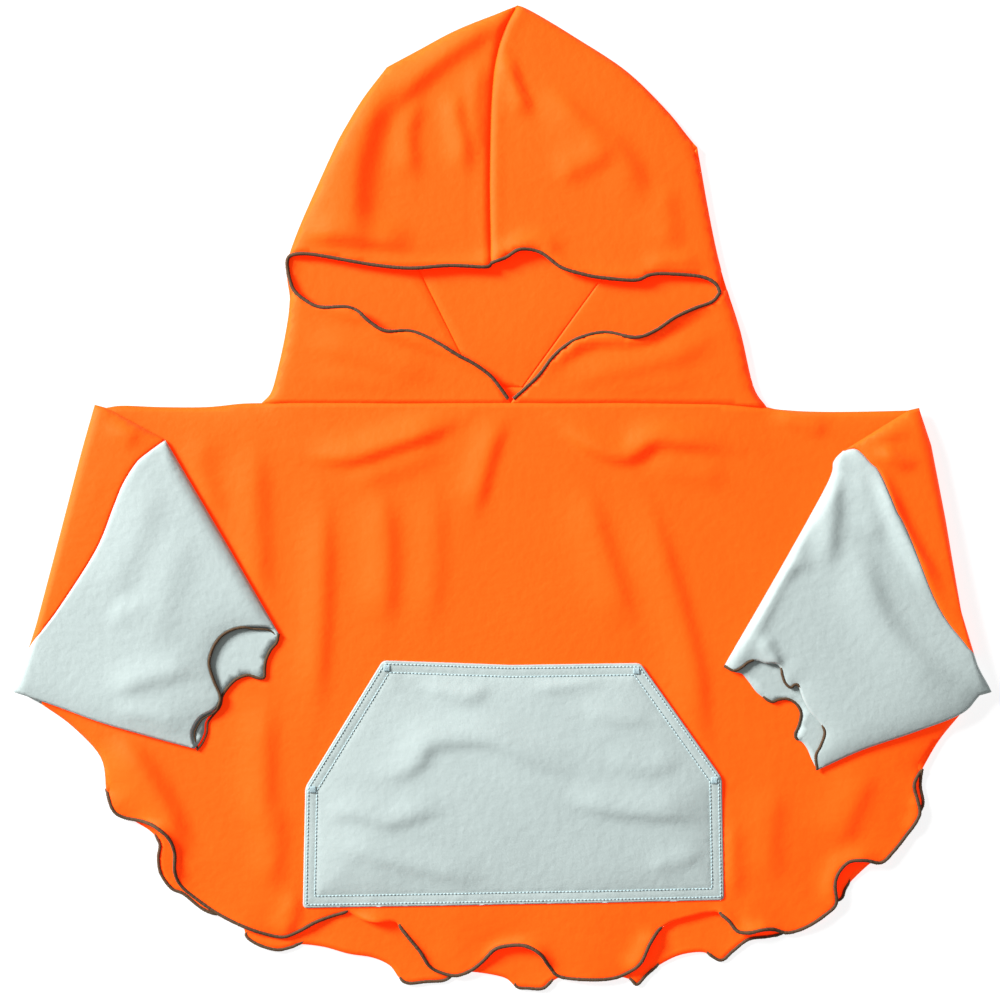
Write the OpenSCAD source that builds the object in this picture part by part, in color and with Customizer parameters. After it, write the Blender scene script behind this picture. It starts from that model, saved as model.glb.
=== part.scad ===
// Hooded pullover with a hand warmer pouch, laid flat on its back.
// The garment lies on the plane z = 0 with its hood towards +Y and its front
// towards +Z. Both sleeves are folded over the front. Every panel of cloth and
// every seam allowance is a solid of its own. Units are millimetres.

/* [Cloth] */
// Thickness of the stretch knit
cloth_t = 0.9; // [0.8:0.1:1.2]
// Clear height between the back and front layers
cavity = 5; // [5:0.5:9]
// Air between two folded layers that lie on each other
fold_gap = 0.4; // [0.4:0.1:0.8]

/* [Seams] */
// Width of an overlocked seam allowance
allowance_w = 5; // [4:0.5:7]
// Thickness of a seam allowance that lies on its panel
allowance_t = 0.4; // [0.4:0.1:1]
// Width of a seam allowance that stands between two layers
edge_wall_w = 2; // [1.5:0.25:3]
// Width of the rolled and overlocked lettuce edge
rolled_w = 2.6; // [2:0.1:3.5]
// How far a rolled edge stands proud of its panel
rolled_h = 0.4; // [0.3:0.1:0.6]

/* [Pouch] */
// Width of the pouch along its top seam
pouch_top_w = 191; // [170:1:200]
// Width of the pouch along its bottom seam
pouch_w = 315; // [300:1:320]
// Height of the pouch from bottom seam to top seam
pouch_h = 184; // [170:1:190]
// Height of its upright sewn sides, below the slanted hand openings
pouch_side_h = 98; // [80:1:110]
// Clear height inside the pouch for the hands
pouch_cavity = 5; // [5:0.5:8]
// Distance from the pouch's edge to its outer row of stitches
stitch_inset = 2; // [1.5:0.25:3]
// Distance between the two rows of stitches
stitch_rows = 6.4; // [5:0.1:8]

/* [Body] */
// Half of the neck seam's width, measured flat
neck_half_w = 187; // [180:1:190]
// Y of the neck seam
neck_y = 69; // [67:1:71]
// How much lower the back hem hangs than the front hem
back_drop = 8; // [4:1:10]

/* [Hidden] */

orange = [1, 0.42, 0.09];
mint = [0.8, 0.88, 0.87];
thread = [0.36, 0.29, 0.25];
pale_thread = [0.66, 0.85, 0.9];

// Heights of the layers. The back layer lies on the floor, the front layer on the
// cavity, and a folded sleeve lies on the front layer: its own front layer is then
// the lower one, because the fold turns it over.
front_z = cloth_t + cavity;
body_top = front_z + cloth_t;
fold_z = body_top + fold_gap / 2;
folded_front_z = 2 * fold_z - body_top;
folded_back_z = 2 * fold_z - cloth_t;
folded_top = 2 * fold_z;
pouch_z = body_top + pouch_cavity;
// Points on each stretch of a curve, and the gap between a bend and the layers it joins.
steps = 4;
fold_clear = 0.05;

// ---------- curves ----------

// A point on the Catmull-Rom curve from b to c.
function between(a, b, c, d, t) =
    0.5 * (2 * b + (c - a) * t + (2 * a - 5 * b + 4 * c - d) * t * t
        + (3 * b - a - 3 * c + d) * t * t * t);

// A smooth open curve through the points.
function smooth(p, n = steps) = let (last = len(p) - 1) concat(
    [for (i = [0:last - 1], k = [0:n - 1])
        between(p[max(i - 1, 0)], p[i], p[i + 1], p[min(i + 2, last)], k / n)],
    [p[last]]);

function reversed(p) = [for (i = [len(p) - 1:-1:0]) p[i]];

// Two paths as one, where the second starts at the first one's end.
function joined(a, b) = concat(a, [for (i = [1:len(b) - 1]) b[i]]);

function unit(v) = v / norm(v);

// The direction to the left of an open path at its point i.
function left_of(p, i) =
    let (d = unit(p[min(i + 1, len(p) - 1)] - p[max(i - 1, 0)])) [-d[1], d[0]];

// The path moved to its left by a distance.
function moved(p, distance) = [for (i = [0:len(p) - 1]) p[i] + distance * left_of(p, i)];

// The strip to the left of a path.
function strip(p, width) = concat(p, reversed(moved(p, width)));

// ---------- outlines ----------

neck_left = [-neck_half_w + 7, neck_y];
neck_right = [neck_half_w + 8, neck_y];

// The lines along which the sleeves are folded over the front, from shoulder to underarm.
left_fold = [[-298, 62], [-357.5, -150]];
right_fold = [[306, 60], [358, -150]];

// A point at a share of a fold line's length.
function along(line, share) = line[0] + share * (line[1] - line[0]);

left_cross = along(left_fold, 0.777);
right_cross = along(right_fold, 0.832);

left_shoulder = smooth([neck_left, [-192, 64], [-245, 61.5], left_fold[0]]);
right_shoulder = smooth([neck_right, [207, 64], [254, 60.5], right_fold[0]]);

left_underarm = [-327, -157];
right_underarm = [344, -165];

left_side = smooth([left_underarm, [-309, -180], [-298, -203], [-296, -222]]);
right_side = smooth([right_underarm, [328, -185], [317, -208], [317, -228]]);

// The hem's mean line from the left side seam to the right one, without its ruffles.
function hem(drop) = smooth([
    [-296, -222], [-272, -262 - drop / 4], [-228, -298 - drop / 2], [-170, -322 - drop],
    [-100, -339 - drop], [-30, -353 - drop], [40, -357 - drop], [110, -350 - drop],
    [180, -331 - drop], [235, -309 - drop / 2], [280, -279 - drop / 4], [308, -250], [317, -228]]);

function body_outline(drop) = concat(
    left_shoulder, [left_cross], joined(joined(left_side, hem(drop)), reversed(right_side)),
    [right_cross], reversed(right_shoulder));

// The armhole curve on a folded layer, from the top of the sleeve to the fold line.
left_armhole = smooth([[-252, 41], [-274, 22], [-288, -4], [-301, -34], [-323, -70], left_cross]);
right_armhole = smooth([[253, 34], [276, 24], [291, -4], [311, -50], [327, -84], right_cross]);

left_sleeve_top = smooth([[-252, 41], [-227, -3], [-196, -56], [-165, -109]]);
right_sleeve_top = smooth([[253, 34], [240, -4], [208, -60], [169, -127]]);
left_cuff = smooth([[-165, -109], [-189, -128], [-209, -152], [-222, -174], [-230, -190]]);
right_cuff = smooth([[169, -127], [193, -144], [215, -168], [229, -190], [236, -208]]);
left_sleeve_under = smooth([[-230, -190], [-268, -181], [-312, -167], left_fold[1]]);
right_sleeve_under = smooth([[236, -208], [278, -191], [322, -170], right_fold[1]]);

hood_left_edge = smooth([neck_left, [-170, 84], [-158, 145], [-157, 180], [-148, 205], [-118, 270]]);
hood_right_edge = smooth([neck_right, [188, 90], [181, 118], [165, 165], [157, 210], [147, 252]]);
hood_left_crown = smooth([[-118, 270], [-87, 319], [-40, 345], [13, 368]]);
hood_right_crown = smooth([[147, 252], [108, 304], [74, 331], [13, 368]]);
nape_left = [-12, neck_y];
nape_right = [8, neck_y];

// The front layer of the crown, and each half of the face opening from the foot of its V,
// outwards and back along the top to the centre seam.
crown_path = joined(hood_left_crown, reversed(hood_right_crown));
v_foot_left = [2, neck_y + 2];
v_foot_right = [10, neck_y + 2];
seam_foot = [-9, 173];
opening_left = smooth([
    v_foot_left, [-20, 88], [-47, 109], [-90, 125], [-130, 142], [-152, 152],
    [-161, 168], [-155, 179], [-110, 176], [-55, 169], seam_foot]);
opening_right = smooth([
    v_foot_right, [28, 92], [52, 113], [95, 119], [135, 140], [154, 146],
    [163, 157], [153, 169], [110, 168], [55, 170], seam_foot]);
opening = joined(opening_left, reversed(opening_right));

pouch_y = -310;
pouch_x = 8;
pouch_outline = [
    [pouch_x - pouch_w / 2, pouch_y], [pouch_x + pouch_w / 2, pouch_y],
    [pouch_x + pouch_w / 2, pouch_y + pouch_side_h],
    [pouch_x + pouch_top_w / 2, pouch_y + pouch_h], [pouch_x - pouch_top_w / 2, pouch_y + pouch_h],
    [pouch_x - pouch_w / 2, pouch_y + pouch_side_h]];

// ---------- building blocks ----------

module slab(outline, z0, z1) translate([0, 0, z0]) linear_extrude(z1 - z0) polygon(outline);

module cloth(outline, z) slab(outline, z, z + cloth_t);

// A seam allowance that stands at an edge and holds two layers together.
module standing_seam(path, width, z0, z1) color(thread) slab(strip(path, width), z0, z1);

// A seam allowance that lies flat on the inner side of a layer.
module flat_seam(path, width, z) color(thread) slab(strip(path, width), z, z + allowance_t);

// The half round bend of the cloth along a fold line, from share a to share b of its
// length. Its two layers turn about the fold line, on the side that faces away from X = 0.
module bend(line, a, b, side) {
    start = along(line, a);
    span = norm(along(line, b) - start);
    heading = atan2(line[1][1] - line[0][1], line[1][0] - line[0][0]);
    translate([start[0], start[1], fold_z]) rotate([0, 0, heading])
        translate([0, side * fold_clear, 0]) rotate([0, 90, 0]) intersection() {
            union() {
                difference() {
                    cylinder(r = fold_z, h = span, $fn = 64);
                    translate([0, 0, -1]) cylinder(r = fold_z - cloth_t, h = span + 2, $fn = 64);
                }
                difference() {
                    cylinder(r = fold_gap / 2 + cloth_t, h = span, $fn = 64);
                    translate([0, 0, -1]) cylinder(r = fold_gap / 2, h = span + 2, $fn = 64);
                }
            }
            translate([-folded_top, side > 0 ? 0 : -folded_top, 0])
                cube([2 * folded_top, folded_top, span]);
        }
}

// ---------- body ----------

module back_panel() color(orange) cloth(body_outline(back_drop), 0);

module front_panel() color(orange) cloth(body_outline(0), front_z);

module left_shoulder_seam() standing_seam(left_shoulder, edge_wall_w, cloth_t, front_z);

module right_shoulder_seam() standing_seam(reversed(right_shoulder), edge_wall_w, cloth_t, front_z);

module left_side_seam() standing_seam(left_side, edge_wall_w, cloth_t, front_z);

module right_side_seam() standing_seam(reversed(right_side), edge_wall_w, cloth_t, front_z);

// One allowance under the front neckline and one on the back neckline.
module neck_seam() color(thread) for (z = [cloth_t, front_z - allowance_t])
    translate([neck_left[0] + 14, neck_y - allowance_w - 0.5, z])
        cube([neck_right[0] - neck_left[0] - 28, allowance_w, allowance_t]);

// The rolled edge outside the end of a panel, between two heights.
module rolled_edge(path, z0, z1) color(thread) slab(strip(path, -rolled_w), z0, z1);

module front_hem_edge() rolled_edge(hem(0), front_z - rolled_h, body_top + rolled_h);

module back_hem_edge() rolled_edge(hem(back_drop), 0, cloth_t + rolled_h);

// ---------- pouch ----------

module pouch_pocket() color(mint) {
    cloth(pouch_outline, pouch_z);
    sewn = [
        [[0, 0], [pouch_w, edge_wall_w]],
        [[0, 0], [edge_wall_w, pouch_side_h]],
        [[pouch_w - edge_wall_w, 0], [edge_wall_w, pouch_side_h]],
        [[(pouch_w - pouch_top_w) / 2, pouch_h - edge_wall_w], [pouch_top_w, edge_wall_w]]];
    intersection() {
        slab(pouch_outline, body_top, pouch_z + cloth_t);
        for (s = sewn)
            translate([pouch_x - pouch_w / 2 + s[0][0], pouch_y + s[0][1], body_top])
                cube([s[1][0], s[1][1], pouch_cavity + cloth_t]);
    }
}

// The pouch's outline drawn in by a distance: its edges keep their directions.
function pouch_inset(d) =
    let (run = (pouch_w - pouch_top_w) / 2, rise = pouch_h - pouch_side_h,
         slant = norm([run, rise]),
         x = pouch_w / 2 - d,
         y_side = pouch_side_h - d * (slant - rise) / run,
         x_top = pouch_top_w / 2 - d * (slant - run) / rise)
    [for (p = [[-x, d], [x, d], [x, y_side], [x_top, pouch_h - d], [-x_top, pouch_h - d], [-x, y_side]])
        p + [pouch_x, pouch_y]];

// One row of stitches all round the pouch.
module stitch_row(inset) color(pale_thread) translate([0, 0, pouch_z + cloth_t])
    linear_extrude(0.4) difference() {
        polygon(pouch_inset(inset));
        polygon(pouch_inset(inset + 0.8));
    }

module pouch_edge_stitching() stitch_row(stitch_inset);

module pouch_hem_stitching() stitch_row(stitch_inset + stitch_rows);

// A short dense tack at each end of both hand openings, between the rows of stitches.
module pouch_bar_tacks() color(pale_thread) for (i = [2:5])
    let (p = pouch_inset(stitch_inset + stitch_rows / 2 + 0.4)[i])
        translate([p[0] - 1.2, p[1] - 1.2, pouch_z + cloth_t]) cube([2.4, 2.4, 0.6]);

// ---------- the part of each sleeve that stays on the body's side of its fold ----------

module sleeve_root(cross, foot, corner) color(mint) for (z = [0, front_z])
    cloth([cross, foot, corner], z);

module left_sleeve_root() sleeve_root(left_cross, left_fold[1], left_underarm);

module right_sleeve_root() sleeve_root(right_cross, right_fold[1], right_underarm);

module left_underarm_seam_lower()
    standing_seam([left_fold[1] + [4, -0.9], left_underarm], edge_wall_w, cloth_t, front_z);

module right_underarm_seam_lower()
    standing_seam([right_underarm, right_fold[1] + [-4, -4.3]], edge_wall_w, cloth_t, front_z);

module left_armhole_seam_lower() for (z = [cloth_t, front_z - allowance_t])
    flat_seam([left_cross + [4, -8], left_underarm + [2, 6]], allowance_w, z);

module right_armhole_seam_lower() for (z = [cloth_t, front_z - allowance_t])
    flat_seam([right_underarm + [-2, 6], right_cross + [-4, -8]], allowance_w, z);

module left_body_fold() color(orange) bend(left_fold, 0, 0.777, -1);

module left_sleeve_fold() color(mint) bend(left_fold, 0.777, 1, -1);

module right_body_fold() color(orange) bend(right_fold, 0, 0.832, 1);

module right_sleeve_fold() color(mint) bend(right_fold, 0.832, 1, 1);

// ---------- hood ----------

// One side of the hood: its share of the back layer, its front layer above and below the
// face opening, and the bend round its outer edge. The edge runs up from the neck, and
// nothing of the hood reaches below the neck's line, where the hood folds forward.
module hood_side(edge, crown, nape, v_foot, side) color(orange) {
    cloth(concat(edge, [nape]), 0);
    difference() {
        union() {
            cloth(concat(joined(edge, crown), [seam_foot, v_foot, [6, neck_y]]), front_z);
            slab(strip(edge, -side * edge_wall_w), 0, body_top);
        }
        slab(opening, front_z - 1, body_top + 1);
        translate([-neck_half_w - 20, neck_y - 10, -1]) cube([2 * neck_half_w + 40, 10, folded_top]);
    }
}

module hood_left_panel() hood_side(hood_left_edge, hood_left_crown, nape_left, v_foot_left, 1);

module hood_right_panel() hood_side(hood_right_edge, hood_right_crown, nape_right, v_foot_right, -1);

module hood_back_gusset() color(orange) cloth(concat([nape_left], crown_path, [nape_right]), 0);

module hood_centre_seam() flat_seam([[-7, 178], [9, 352]], allowance_w, front_z - allowance_t);

module hood_left_gusset_seam() flat_seam([nape_left + [2, 8], [-104, 256]], -allowance_w, cloth_t);

module hood_right_gusset_seam() flat_seam([nape_right + [-2, 8], [136, 244]], allowance_w, cloth_t);

module hood_crown_seam() standing_seam(
    [for (i = [1:len(crown_path) - 2]) crown_path[i]], -edge_wall_w, cloth_t, front_z);

module hood_face_edge() rolled_edge(opening, front_z - rolled_h, body_top + rolled_h);

// ---------- folded sleeves ----------

function wing(line, armhole) = concat([line[0]], armhole);

function sleeve_outline(armhole, top, cuff, under) =
    joined(joined(joined(reversed(armhole), top), cuff), under);

module left_wing_front() color(orange) cloth(wing(left_fold, left_armhole), folded_front_z);

module left_wing_back() color(orange) cloth(wing(left_fold, left_armhole), folded_back_z);

module right_wing_front() color(orange) cloth(wing(right_fold, right_armhole), folded_front_z);

module right_wing_back() color(orange) cloth(wing(right_fold, right_armhole), folded_back_z);

// The shoulder seam's last stretch, from the fold to the top of the sleeve.
module wing_seam(path) standing_seam(path, edge_wall_w, folded_front_z + cloth_t, folded_back_z);

module left_wing_seam() wing_seam([left_armhole[0] + [-3, 1], left_fold[0] + [3, -1.4]]);

module right_wing_seam() wing_seam([right_fold[0] + [-3, -1.5], right_armhole[0] + [3, 1]]);

module armhole_seam(path) for (z = [folded_front_z + cloth_t, folded_back_z - allowance_t])
    flat_seam([for (i = [2:len(path) - 3]) path[i]], allowance_w, z);

module left_armhole_seam() armhole_seam(left_armhole);

module right_armhole_seam() armhole_seam(reversed(right_armhole));

// A sleeve is one piece of cloth: two layers, joined by the bend along its top.
module sleeve(armhole, top, cuff, under, side) color(mint) {
    for (z = [folded_front_z, folded_back_z])
        cloth(sleeve_outline(armhole, top, cuff, under), z);
    slab(strip(top, -side * edge_wall_w), folded_front_z, folded_top);
}

module left_sleeve() sleeve(left_armhole, left_sleeve_top, left_cuff, left_sleeve_under, 1);

module right_sleeve() sleeve(right_armhole, right_sleeve_top, right_cuff, right_sleeve_under, -1);

module underarm_seam(path) standing_seam(path, edge_wall_w, folded_front_z + cloth_t, folded_back_z);

module left_underarm_seam() underarm_seam(reversed(left_sleeve_under));

module right_underarm_seam() underarm_seam(right_sleeve_under);

// The cuff's rolled edge, on the front layer and on the back layer.
module cuff_edge(path) color(thread) {
    slab(strip(path, rolled_w), folded_front_z, folded_front_z + cloth_t + rolled_h);
    slab(strip(path, rolled_w), folded_back_z - rolled_h, folded_top);
}

module left_cuff_edge() cuff_edge(left_cuff);

module right_cuff_edge() cuff_edge(reversed(right_cuff));

back_panel();
front_panel();
left_shoulder_seam();
right_shoulder_seam();
left_side_seam();
right_side_seam();
neck_seam();
front_hem_edge();
back_hem_edge();
pouch_pocket();
pouch_edge_stitching();
pouch_hem_stitching();
pouch_bar_tacks();
left_sleeve_root();
right_sleeve_root();
left_underarm_seam_lower();
right_underarm_seam_lower();
left_armhole_seam_lower();
right_armhole_seam_lower();
left_body_fold();
right_body_fold();
left_sleeve_fold();
right_sleeve_fold();
hood_left_panel();
hood_right_panel();
hood_back_gusset();
hood_centre_seam();
hood_left_gusset_seam();
hood_right_gusset_seam();
hood_crown_seam();
hood_face_edge();
left_wing_front();
left_wing_back();
left_wing_seam();
left_armhole_seam();
left_sleeve();
left_underarm_seam();
left_cuff_edge();
right_wing_front();
right_wing_back();
right_wing_seam();
right_armhole_seam();
right_sleeve();
right_underarm_seam();
right_cuff_edge();
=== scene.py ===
"""Looks of a hooded pullover with a hand warmer pouch, laid flat with both sleeves folded over its front.

Every panel of cloth is a thin mesh with a height for each place of its outline. The heights hold the folds,
the seams and the ruffles. Lengths are in millimetres until a mesh is made. X is to the right and the hood
points along +Y. Left and right are as seen from above.
"""

import math

import bpy
import numpy as np
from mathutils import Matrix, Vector
from mathutils.geometry import delaunay_2d_cdt

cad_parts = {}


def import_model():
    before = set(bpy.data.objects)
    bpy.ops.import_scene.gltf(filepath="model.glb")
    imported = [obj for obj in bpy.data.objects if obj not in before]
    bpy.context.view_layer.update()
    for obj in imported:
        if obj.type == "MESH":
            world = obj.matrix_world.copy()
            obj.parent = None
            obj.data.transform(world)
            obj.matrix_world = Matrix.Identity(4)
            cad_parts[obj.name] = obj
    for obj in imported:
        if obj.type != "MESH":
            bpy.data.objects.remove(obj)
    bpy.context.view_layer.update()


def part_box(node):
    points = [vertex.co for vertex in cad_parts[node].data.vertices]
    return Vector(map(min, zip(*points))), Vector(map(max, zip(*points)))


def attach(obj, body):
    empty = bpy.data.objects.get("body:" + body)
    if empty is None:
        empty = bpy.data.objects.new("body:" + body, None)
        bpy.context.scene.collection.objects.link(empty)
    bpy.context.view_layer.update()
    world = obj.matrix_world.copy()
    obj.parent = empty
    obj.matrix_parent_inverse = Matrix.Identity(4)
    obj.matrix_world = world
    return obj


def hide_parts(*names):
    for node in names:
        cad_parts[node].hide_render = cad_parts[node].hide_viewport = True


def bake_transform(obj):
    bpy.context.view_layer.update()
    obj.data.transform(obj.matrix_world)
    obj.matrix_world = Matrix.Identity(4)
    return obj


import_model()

MM = 0.001
CLOTH = 0.85
FOLD_SCALE = 2.0
rng = np.random.default_rng(7)

# Steps between points: round a sheet's rim, along a seam, along a rolled edge, along a row of stitches.
RIM_STEP = 3.0
SEAM_STEP = 2.2
ROLL_STEP = 0.62
STITCH_STEP = 0.5

# A seam allowance's ribbon: its thickness, how far from the seam it starts, and the lowest middle of its
# overlocked edge above the floor.
RIBBON = 0.3
RIBBON_START = 1.4
LOOP_LEVEL = 0.56

# Radii of the rolled edges at the front hem and the face opening, at the back hem and at the cuffs.
FRONT_ROLL = 1.45
BACK_ROLL = 1.3
CUFF_ROLL = 1.15
THREAD_REPEAT = 1.5

STITCH_PITCH = 2.7
STITCH_LENGTH = 2.3
STITCH_RADIUS = 0.36
STITCH_LIFT = 0.62


# ---------- heights of the layers, from the frame ----------


def middle(node):
    """The height halfway through a flat CAD node."""
    low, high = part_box(node)
    return (low.z + high.z) / 2 / MM


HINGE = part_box("left_wing_front")[0].z / MM - 0.2
FRONT = middle("front_panel")
BACK_PANEL = middle("back_panel")
LOWER = 2 * HINGE - FRONT
UPPER = 2 * HINGE - BACK_PANEL
BACK_LEVEL = BACK_PANEL + 0.3
SEWN_LEVEL = 9.3
NECK_Y = 69.0


# ---------- curves ----------


def smooth(points, per=6):
    """A Catmull-Rom curve through the points."""
    p = np.array(points, float)
    padded = np.vstack([2 * p[0] - p[1], p, 2 * p[-1] - p[-2]])
    out = []
    for i in range(len(p) - 1):
        a, b, c, d = padded[i : i + 4]
        for t in np.arange(per) / per:
            square = 2 * a - 5 * b + 4 * c - d
            cube = 3 * b - a - 3 * c + d
            out.append(0.5 * (2 * b + (c - a) * t + square * t**2 + cube * t**3))
    out.append(p[-1])
    return np.array(out)


def resample(line, step):
    """The line with points an even step apart. Its ends stay."""
    line = np.array(line, float)
    run = np.concatenate([[0], np.cumsum(np.linalg.norm(np.diff(line, axis=0), axis=1))])
    count = max(2, int(round(run[-1] / step)) + 1)
    at = np.linspace(0, run[-1], count)
    return np.stack([np.interp(at, run, line[:, k]) for k in range(line.shape[1])], axis=1)


def chain(*lines):
    """Lines joined end to end into one, without repeated points."""
    out = [np.array(lines[0], float)]
    for line in lines[1:]:
        line = np.array(line, float)
        out.append(line[1:] if np.linalg.norm(line[0] - out[-1][-1]) < 0.01 else line)
    return np.vstack(out)


def back(line):
    return np.array(line, float)[::-1]


def signed_area(outline):
    x, y = np.array(outline, float).T
    return (np.dot(x, np.roll(y, -1)) - np.dot(y, np.roll(x, -1))) / 2


def dense(outline, step):
    """A closed outline with extra points on its long sides, which bulge by a hair. Its own points stay."""
    turn = 1 if signed_area(outline) > 0 else -1
    out = []
    for a, b in zip(outline, np.roll(outline, -1, axis=0)):
        length = np.linalg.norm(b - a)
        count = int(math.ceil(length / step))
        outward = turn * np.array([b[1] - a[1], a[0] - b[0]]) / max(length, 1e-9)
        for k in range(count):
            t = k / count
            out.append(a + (b - a) * t + outward * 0.12 * t * (1 - t))
    return np.array(out)


def along(line, share):
    a, b = np.array(line[0], float), np.array(line[-1], float)
    return a + share * (b - a)


def nearest(points, line):
    """Each point's distance to the line, how far along the line that is, and its side (1 left, -1 right)."""
    line = np.array(line, float)
    best = np.full(len(points), 1e18)
    run = np.zeros(len(points))
    side = np.ones(len(points))
    start = 0.0
    for a, b in zip(line[:-1], line[1:]):
        ab = b - a
        length = np.hypot(*ab)
        if length < 1e-9:
            continue
        t = np.clip((points - a) @ ab / length**2, 0, 1)
        off = points - a - t[:, None] * ab
        d = (off**2).sum(1)
        closer = d < best
        best[closer] = d[closer]
        run[closer] = start + t[closer] * length
        side[closer] = np.sign(ab[0] * off[closer, 1] - ab[1] * off[closer, 0])
        start += length
    return np.sqrt(best), run, side


def distance(points, *lines):
    """Each point's distance to the nearest of the lines."""
    return np.minimum.reduce([nearest(points, line)[0] for line in lines])


def leftward(line):
    """The direction to the left of the line, one unit long, at each of its points."""
    heading = np.gradient(line, axis=0)
    normal = np.stack([-heading[:, 1], heading[:, 0]], axis=1)
    return normal / np.linalg.norm(normal, axis=1)[:, None]


def inside(points, outline):
    """Which points lie inside a closed outline."""
    result = np.zeros(len(points), bool)
    for a, b in zip(outline, np.roll(outline, -1, axis=0)):
        if a[1] == b[1]:
            continue
        crosses = (a[1] > points[:, 1]) != (b[1] > points[:, 1])
        x = a[0] + (points[:, 1] - a[1]) * (b[0] - a[0]) / (b[1] - a[1])
        result ^= crosses & (points[:, 0] < x)
    return result


def closed(outline):
    return np.vstack([outline, outline[:1]])


def cut_index(line, place):
    return int(np.argmin(np.linalg.norm(line - np.array(place, float), axis=1)))


def before(line, place):
    """The line as far as its point nearest to a place."""
    return line[: cut_index(line, place) + 1]


def after(line, place):
    """The line from its point nearest to a place."""
    return line[cut_index(line, place) :]


def around(points, line, reach):
    """Which points lie in the box round a line, widened by that reach."""
    low, high = line.min(0) - reach, line.max(0) + reach
    return ((points > low) & (points < high)).all(axis=1)


def outside(points, outline, width):
    """0 inside an outline, rising to 1 at that width outside it."""
    result = np.ones(len(points))
    close = around(points, outline, width)
    if close.any():
        away = distance(points[close], closed(outline))
        result[close] = step_up(np.where(inside(points[close], outline), 0, away) / width)
    return result


def step_up(t):
    t = np.clip(t, 0, 1)
    return t * t * (3 - 2 * t)


# ---------- heights ----------


def ridge(points, path, height, steep, gentle, fade=0.3):
    """The lift of a fold along a path. Its steep side is to the left of the path's direction.
    It fades out over that share of its length at both ends."""
    line = smooth(path)
    lift = np.zeros(len(points))
    close = around(points, line, 2.7 * max(steep, gentle))
    if not close.any():
        return lift
    d, run, side = nearest(points[close], line)
    share = run / np.linalg.norm(np.diff(line, axis=0), axis=1).sum()
    width = np.where(side > 0, steep, gentle)
    ends = step_up(share / fade) * step_up((1 - share) / fade)
    lift[close] = height * np.exp(-((d / width) ** 2)) * (0.12 + 0.88 * ends)
    return lift


def folds(points, table):
    return FOLD_SCALE * sum(ridge(points, *row) for row in table)


def groove(points, path, depth, width):
    return -depth * np.exp(-((distance(points, path) / width) ** 2))


def gentle_waves(points, size=0.3):
    """Slow unevenness of cloth that lies loosely."""
    x, y = points.T
    return size * (
        np.sin(x / 23 + 1.7 * np.sin(y / 41))
        + 0.7 * np.sin(y / 19 + 1.3 * np.sin(x / 37 + 2))
        + 0.4 * np.sin((x + y) / 11 + np.sin(x / 29))
    )


# ---------- outlines ----------

left_fold = [(-298, 62), (-357.5, -150)]
right_fold = [(306, 60), (358, -150)]
LEFT_CROSS = 0.777
RIGHT_CROSS = 0.832
CORNER = -0.016
left_cross = along(left_fold, LEFT_CROSS)
right_cross = along(right_fold, RIGHT_CROSS)
left_corner = along(left_fold, CORNER)
right_corner = along(right_fold, CORNER)
left_underarm = (-345, -157)
right_underarm = (344, -165)
neck_left = (-180, NECK_Y)
neck_right = (199, NECK_Y - 3)
neck_seam = np.array([neck_left, (-90, NECK_Y), (7, NECK_Y), (90, NECK_Y), (160, NECK_Y - 1), neck_right])

left_shoulder = smooth([neck_left, (-196, 68.5), (-222, 66), (-256, 66), (-284, 67), left_corner])
right_shoulder = smooth([neck_right, (209, 64), (232, 62.5), (268, 62.5), right_corner])
left_side = smooth([left_underarm, (-322, -174), (-301, -197), (-297, -221)])
right_side = smooth([right_underarm, (329, -184), (316, -206)])

front_hem_left = smooth([
    (-297, -221), (-292, -236), (-284, -242), (-268, -245), (-258, -249), (-249, -257), (-245, -268),
    (-245, -282), (-241, -293), (-230, -303), (-214, -314), (-196, -323), (-180, -329), (-165, -332),
    (-153, -328), (-140, -321), (-126, -316), (-115, -313)])
front_tuck_left = smooth([(-115, -313), (-106, -318), (-97, -320), (-84, -320), (-79, -321)])
front_hem_middle = smooth([
    (-79, -321), (-70, -332), (-61, -343), (-54, -354), (-45, -359), (-34, -361), (-23, -357), (-14, -350),
    (-5, -341), (6, -338), (18, -338), (29, -344), (36, -354), (44, -362), (66, -364), (84, -363),
    (96, -358), (105, -350), (111, -337), (117, -328), (121, -325)])
front_tuck_right = smooth([(121, -325), (130, -320), (149, -315), (162, -313)])
front_hem_right = smooth([
    (162, -313), (170, -319), (177, -327), (186, -328), (195, -326), (204, -326), (215, -329), (228, -325),
    (242, -316), (251, -307), (250, -293), (253, -283), (261, -275), (273, -274), (285, -276), (294, -268),
    (303, -257), (312, -244), (314, -237), (312, -228), (310, -217), (316, -206)])
front_hem = chain(front_hem_left, front_tuck_left, front_hem_middle, front_tuck_right, front_hem_right)

back_hem = smooth([
    (-297, -221), (-286, -239), (-275, -246), (-264, -253), (-257, -262), (-258, -273), (-256, -285),
    (-248, -296), (-239, -300), (-225, -311), (-211, -317), (-195, -325), (-192, -332), (-183, -338),
    (-169, -342), (-158, -340), (-151, -338), (-133, -340), (-115, -345), (-97, -348), (-84, -354),
    (-77, -363), (-70, -367), (-57, -366), (-43, -365), (-33, -359), (-18, -359), (2, -363), (11, -370),
    (20, -371), (31, -371), (39, -365), (55, -359), (78, -360), (96, -364), (102, -368), (109, -361),
    (118, -354), (134, -346), (152, -344), (165, -350), (174, -343), (186, -334), (201, -332), (213, -329),
    (235, -317), (249, -307), (256, -303), (260, -294), (276, -278), (291, -268), (305, -254), (314, -239),
    (317, -231), (315, -219), (316, -206)])

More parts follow.
